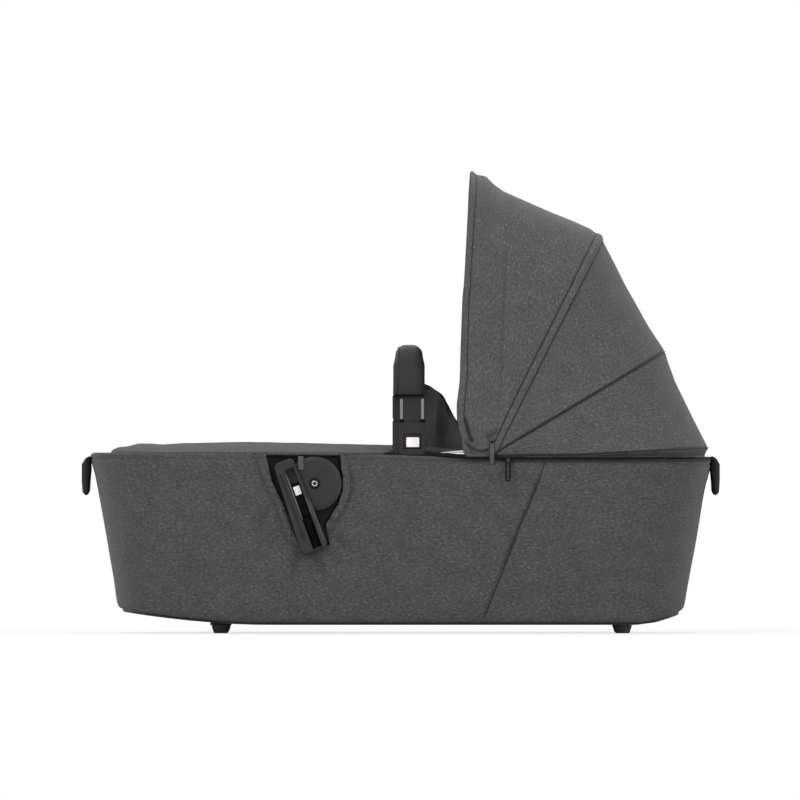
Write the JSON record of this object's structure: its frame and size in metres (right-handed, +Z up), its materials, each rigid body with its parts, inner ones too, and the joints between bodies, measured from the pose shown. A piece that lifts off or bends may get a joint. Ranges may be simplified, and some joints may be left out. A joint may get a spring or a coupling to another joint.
{
  "type": "carrycot",
  "caption": "Pram carrycot: fabric tub on a moulded tray and rim frame, apron with wind collar, folding carry handle, folding hood and side brackets for a chassis.",
  "frame": {"origin": "centre of the bounding box on the floor plane, under the four rubber pads", "axes": "+X from the foot end to the head end, +Y to the right-hand side, +Z up"},
  "size_m": [0.8512, 0.4232, 0.6158],
  "materials": {
    "tray_plastic": "matt moulded black",
    "pad_rubber": "matt black rubber",
    "fastener_steel": "zinc-plated",
    "tub_fabric": "charcoal melange weave",
    "board_plastic": "plain stiffening board",
    "frame_plastic": "matt moulded black",
    "lining_fabric": "soft grey jersey",
    "mattress_fabric": "off-white jersey",
    "collar_fabric": "dark grey lining with a black binding",
    "grip_plastic": "fine-textured black",
    "bracket_plastic": "fine-textured dark grey",
    "latch_plastic": "smooth black",
    "handle_plastic": "satin black",
    "button_plastic": "satin black",
    "bar_aluminium": "plain",
    "grip_leather": "dark grey imitation leather, stitched",
    "bow_plastic": "matt black",
    "hood_fabric": "charcoal melange weave",
    "zip_metal": "black",
    "zip_cord": "matt black moulded loop"
  },
  "bodies": {
    "tub": {"base_tray": "tray_plastic", "floor_pad_foot_left": "pad_rubber", "floor_pad_foot_right": "pad_rubber", "floor_pad_head_left": "pad_rubber", "floor_pad_head_right": "pad_rubber", "pad_screw_foot_left": "fastener_steel", "pad_screw_foot_right": "fastener_steel", "pad_screw_head_left": "fastener_steel", "pad_screw_head_right": "fastener_steel", "tub_cover": "tub_fabric", "side_board_left": "board_plastic", "side_board_right": "board_plastic", "foot_board": "board_plastic", "head_board": "board_plastic", "rim_frame_foot": "frame_plastic", "rim_frame_head": "frame_plastic", "base_board": "board_plastic", "lining": "lining_fabric", "mattress": "mattress_fabric", "apron": "tub_fabric", "apron_collar": "collar_fabric", "end_grip_foot": "grip_plastic", "end_grip_head": "grip_plastic", "adapter_housing_left": "bracket_plastic", "adapter_housing_right": "bracket_plastic", "adapter_disc_left": "bracket_plastic", "adapter_disc_right": "bracket_plastic", "adapter_bolt_left": "fastener_steel", "adapter_bolt_right": "fastener_steel", "adapter_arm_left": "bracket_plastic", "adapter_arm_right": "bracket_plastic", "handle_block_left": "handle_plastic", "handle_block_right": "handle_plastic", "handle_pin_left": "fastener_steel", "handle_pin_right": "fastener_steel", "hood_hub_left": "frame_plastic", "hood_hub_right": "frame_plastic", "hood_pin_left": "fastener_steel", "hood_pin_right": "fastener_steel", "hood_base_band": "hood_fabric", "hood_tab_left": "hood_fabric", "hood_tab_right": "hood_fabric", "zip_slider": "zip_metal"},
    "handle": {"handle_leg_left": "handle_plastic", "handle_leg_right": "handle_plastic", "handle_bar": "bar_aluminium", "handle_grip": "grip_leather"},
    "button_left": {"handle_button_left": "button_plastic"},
    "button_right": {"handle_button_right": "button_plastic"},
    "latch_left": {"latch_left": "latch_plastic"},
    "latch_right": {"latch_right": "latch_plastic"},
    "zip_pull": {"zip_pull": "zip_cord"},
    "hood_rear": {"rear_bow": "bow_plastic", "hood_panel_rear": "hood_fabric"},
    "hood_middle": {"middle_bow": "bow_plastic", "hood_panel_middle": "hood_fabric"},
    "hood_front": {"front_bow": "bow_plastic", "hood_panel_front": "hood_fabric"}
  },
  "joints": [
    {"name": "handle_fold", "type": "hinge", "parent": "tub", "child": "handle", "pos_m": [-0.0065, 0, 0.2877], "axis": [0, 1, 0], "range_deg": [-90, 0]},
    {"name": "button_left_press", "type": "slide", "parent": "tub", "child": "button_left", "axis": [0, 1, 0], "range_m": [0, 0.003], "stiffness_N_per_m": 1500, "springref_m": -0.001},
    {"name": "button_right_press", "type": "slide", "parent": "tub", "child": "button_right", "axis": [0, -1, 0], "range_m": [0, 0.003], "stiffness_N_per_m": 1500, "springref_m": -0.001},
    {"name": "latch_left_slide", "type": "slide", "parent": "tub", "child": "latch_left", "axis": [-0.342, 0, 0.9397], "range_m": [0, 0.008], "stiffness_N_per_m": 500, "springref_m": -0.002},
    {"name": "latch_right_slide", "type": "slide", "parent": "tub", "child": "latch_right", "axis": [-0.342, 0, 0.9397], "range_m": [0, 0.008], "stiffness_N_per_m": 500, "springref_m": -0.002},
    {"name": "zip_pull_swing", "type": "hinge", "parent": "tub", "child": "zip_pull", "pos_m": [0.1426, -0.2092, 0.236], "axis": [1, 0, 0], "range_deg": [-90, 0]},
    {"name": "hood_rear_fold", "type": "hinge", "parent": "tub", "child": "hood_rear", "pos_m": [0.1213, 0, 0.2374], "axis": [0, 1, 0], "range_deg": [0, 24], "deforming": ["hood_panel_rear"]},
    {"name": "hood_middle_fold", "type": "hinge", "parent": "hood_rear", "child": "hood_middle", "pos_m": [0.1213, 0, 0.2374], "axis": [0, 1, 0], "range_deg": [0, 24], "deforming": ["hood_panel_middle"]},
    {"name": "hood_front_fold", "type": "hinge", "parent": "hood_middle", "child": "hood_front", "pos_m": [0.1213, 0, 0.2374], "axis": [0, 1, 0], "range_deg": [0, 24], "deforming": ["hood_panel_front"]}
  ],
  "couplings": [
    {"joint": "hood_middle_fold", "follows": "hood_rear_fold", "ratio": 1},
    {"joint": "hood_front_fold", "follows": "hood_rear_fold", "ratio": 1}
  ]
}
